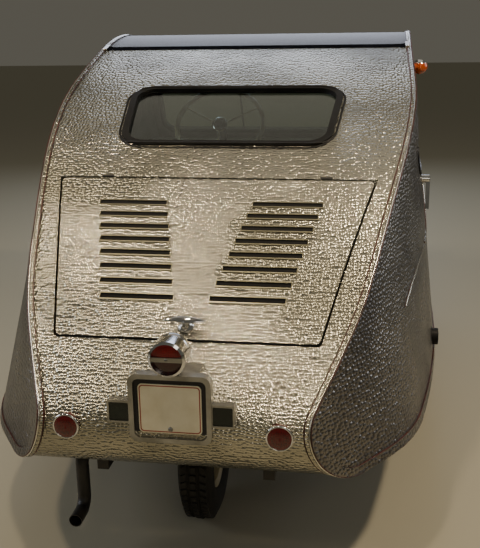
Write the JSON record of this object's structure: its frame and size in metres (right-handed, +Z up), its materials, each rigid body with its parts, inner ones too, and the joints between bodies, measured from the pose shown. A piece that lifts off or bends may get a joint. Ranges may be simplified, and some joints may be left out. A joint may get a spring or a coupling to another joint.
{
  "type": "three wheeled car",
  "caption": "Small closed three wheeled car with a hammered metal body, sloping tail, louvred engine hatch, two side doors, two steered front wheels and one rear wheel.",
  "frame": {"origin": "centre of the footprint of the whole car, on the floor that it stands on", "axes": "+Z up; +Y towards the tail, so the car faces -Y; +X towards its left side, where the steering wheel is"},
  "size_m": [1.4504, 2.89, 1.3839],
  "materials": {
    "hammered_aluminium": "hammered",
    "roof_leatherette": "grained",
    "edge_bead": "polished",
    "glass": "clear",
    "black_rubber": "matte",
    "tyre_rubber": "matte",
    "red_lens": "gloss",
    "amber_lens": "gloss",
    "chrome": "polished",
    "black_paint": "satin",
    "wheel_paint": "gloss",
    "cast_aluminium": "cast",
    "plywood": "painted",
    "seat_cloth": "woven",
    "dash_paint": "satin",
    "ivory_plastic": "gloss",
    "engine_metal": "cast"
  },
  "bodies": {
    "root": {"nose_panel": "hammered_aluminium", "roof_panel": "roof_leatherette", "upper_tail_panel": "hammered_aluminium", "lower_tail_panel": "hammered_aluminium", "side_panel_left": "hammered_aluminium", "side_panel_right": "hammered_aluminium", "edge_mouldings": "edge_bead", "floor_pan": "plywood", "arch_liners": "plywood", "engine_bulkhead": "plywood", "chassis_frame": "black_paint", "front_axle": "black_paint", "swing_arm": "black_paint", "engine_block": "engine_metal", "silencer": "black_paint", "rear_window": "glass", "windscreen": "glass", "window_rubbers": "black_rubber", "headlamps": "chrome", "tail_lamps": "red_lens", "stop_lamp": "red_lens", "plate_holder": "cast_aluminium", "turn_lamps": "amber_lens", "dashboard": "dash_paint", "steering_column": "black_paint", "seat_cushion": "seat_cloth", "seat_back": "seat_cloth", "wiper": "black_paint", "sill_buffers": "black_rubber"},
    "hatch": {"engine_hatch": "hammered_aluminium", "hatch_handle": "chrome"},
    "door_left": {"door_left": "hammered_aluminium", "door_glass_left": "glass", "door_handle_left": "chrome"},
    "door_right": {"door_right": "hammered_aluminium", "door_glass_right": "glass", "door_handle_right": "chrome"},
    "knuckle_left": {"knuckle_left": "black_paint"},
    "knuckle_right": {"knuckle_right": "black_paint"},
    "wheel_left": {"rim_left": "wheel_paint", "tyre_left": "tyre_rubber"},
    "wheel_right": {"rim_right": "wheel_paint", "tyre_right": "tyre_rubber"},
    "wheel_rear": {"rim_rear": "wheel_paint", "tyre_rear": "tyre_rubber"},
    "tie_rod": {"tie_rod": "black_paint"},
    "steering_wheel": {"steering_wheel": "ivory_plastic"}
  },
  "joints": [
    {"name": "steer_left", "type": "hinge", "parent": "root", "child": "knuckle_left", "pos_m": [0.46, -0.875, 0.205], "axis": [0, 0, 1], "range_deg": [-28, 28]},
    {"name": "steer_right", "type": "hinge", "parent": "root", "child": "knuckle_right", "pos_m": [-0.46, -0.875, 0.205], "axis": [0, 0, 1], "range_deg": [-28, 28]},
    {"name": "tie_rod_pin", "type": "hinge", "parent": "knuckle_left", "child": "tie_rod", "pos_m": [0.46, -0.765, 0.188], "axis": [0, 0, 1], "range_deg": [-28, 28]},
    {"name": "steering_wheel_turn", "type": "hinge", "parent": "root", "child": "steering_wheel", "pos_m": [0.22, -0.595, 0.98], "axis": [0, 0.7431, 0.6691], "range_deg": [-224, 224]},
    {"name": "wheel_left_spin", "type": "hinge", "parent": "knuckle_left", "child": "wheel_left", "pos_m": [0.55, -0.875, 0.205], "axis": [1, 0, 0], "continuous": true},
    {"name": "wheel_right_spin", "type": "hinge", "parent": "knuckle_right", "child": "wheel_right", "pos_m": [-0.55, -0.875, 0.205], "axis": [1, 0, 0], "continuous": true},
    {"name": "wheel_rear_spin", "type": "hinge", "parent": "root", "child": "wheel_rear", "pos_m": [0, 1.005, 0.205], "axis": [1, 0, 0], "continuous": true},
    {"name": "door_left_hinge", "type": "hinge", "parent": "root", "child": "door_left", "pos_m": [0.6784, -0.547, 0.8], "axis": [0.0946, 0, -0.9955], "range_deg": [0, 65]},
    {"name": "door_right_hinge", "type": "hinge", "parent": "root", "child": "door_right", "pos_m": [-0.6784, -0.547, 0.8], "axis": [0.0946, 0, 0.9955], "range_deg": [0, 65]},
    {"name": "hatch_hinge", "type": "hinge", "parent": "root", "child": "hatch", "pos_m": [0, 0.77, 0.9695], "axis": [1, 0, 0], "range_deg": [0, 65]}
  ],
  "couplings": [
    {"joint": "steer_right", "follows": "steer_left", "ratio": 1},
    {"joint": "tie_rod_pin", "follows": "steer_left", "ratio": -1},
    {"joint": "steering_wheel_turn", "follows": "steer_left", "ratio": 8}
  ]
}
